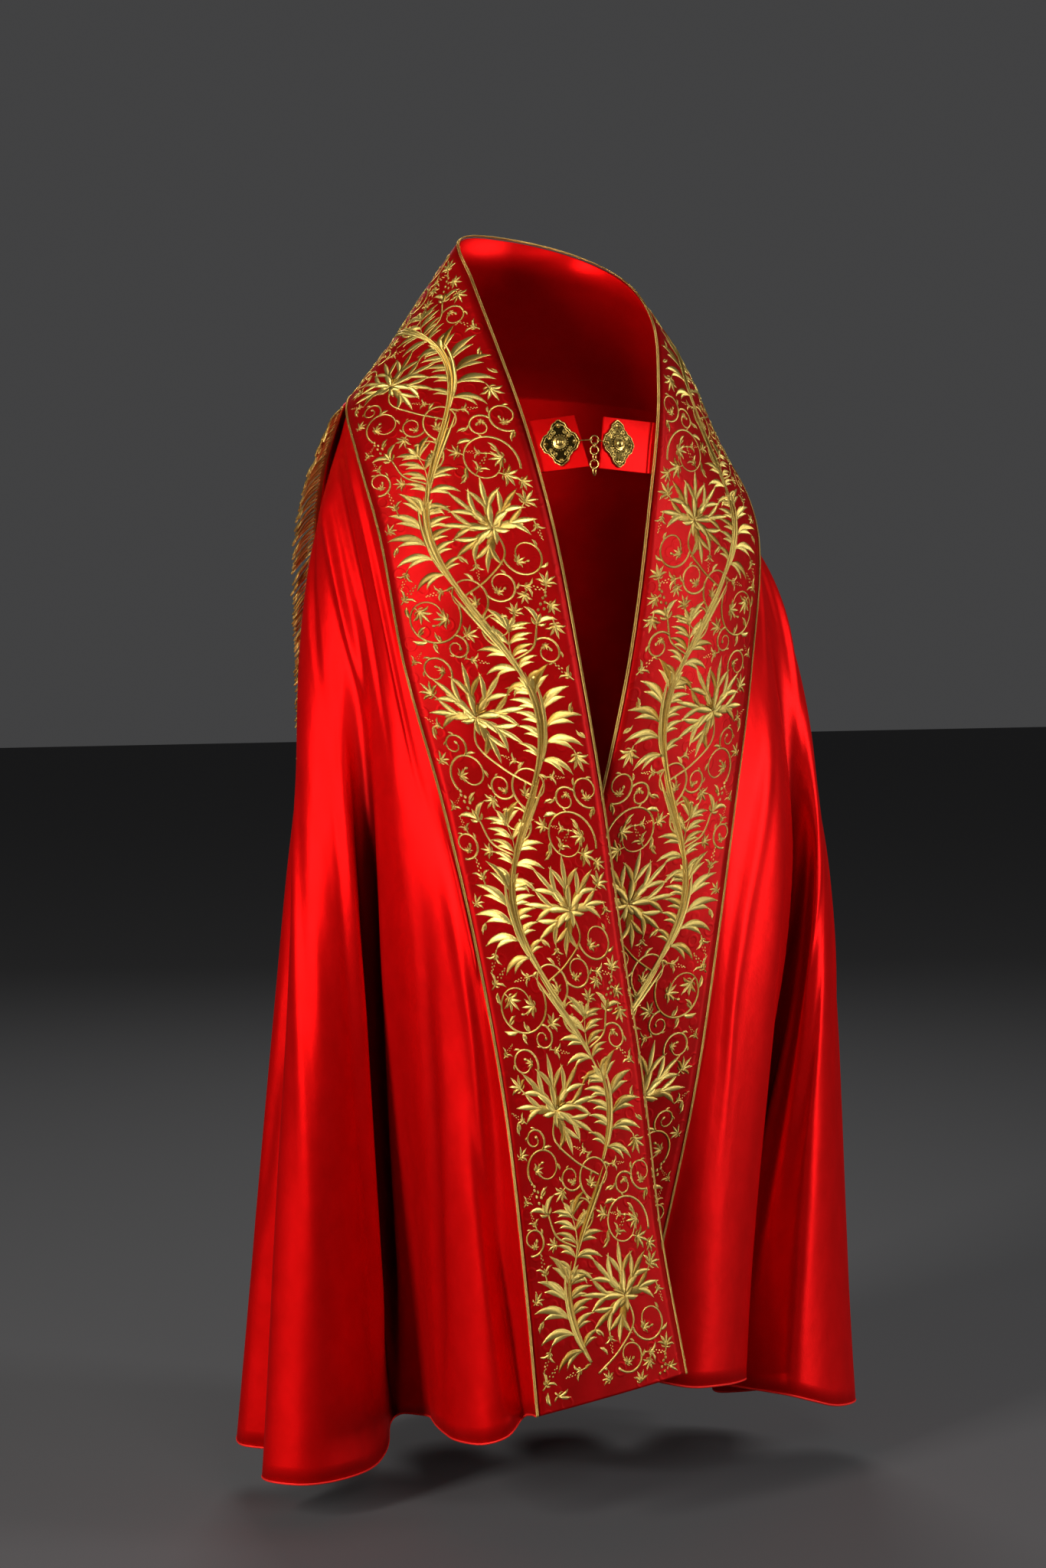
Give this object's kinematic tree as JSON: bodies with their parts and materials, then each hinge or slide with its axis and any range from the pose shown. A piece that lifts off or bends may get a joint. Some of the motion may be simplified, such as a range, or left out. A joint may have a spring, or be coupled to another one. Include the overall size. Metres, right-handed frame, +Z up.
{
  "type": "cope vestment",
  "caption": "Floor-length half-circle cloak of red satin, worn open in front: wide gold-embroidered bands, fringed back hood, gold cord edges and a metal chest clasp.",
  "frame": {"origin": "the middle of the neck opening, where the neck meets the wearer's shoulders", "axes": "+Z up, the front looks along -Y, and the wearer's right hand is at -X"},
  "size_m": [0.8298, 0.5719, 1.5554],
  "materials": {
    "satin": "bright red polyester duchess satin, strong soft sheen along the folds",
    "band_satin": "darker red damask with a tone-on-tone curl, under the gold embroidery",
    "gold_thread": "pale gold metallic thread: twisted cord and bullion fringe",
    "antique_gold": "cast openwork in antique gold plate, dark in its hollows"
  },
  "bodies": {
    "cope": {"mantle": "satin", "orphrey_right": "band_satin", "orphrey_left": "band_satin", "cord_inner": "gold_thread", "cord_outer": "gold_thread", "hood": "satin", "hood_fringe": "gold_thread", "clasp_tab_right": "satin", "clasp_tab_left": "satin", "clasp_plate_right": "antique_gold", "clasp_plate_left": "antique_gold", "clasp_boss_right": "antique_gold", "clasp_boss_left": "antique_gold", "clasp_hook": "antique_gold", "clasp_ring": "antique_gold", "clasp_eye": "antique_gold"},
    "clasp_tail": {"tail_link": "antique_gold", "tail_ring_1": "antique_gold", "tail_ring_2": "antique_gold", "tail_ring_3": "antique_gold", "tail_ring_4": "antique_gold"}
  },
  "joints": [
    {"name": "tail_swing", "type": "hinge", "parent": "cope", "child": "clasp_tail", "pos_m": [-0.0063, -0.1715, -0.125], "axis": [-1, 0, 0], "range_deg": [-2, 70]}
  ]
}
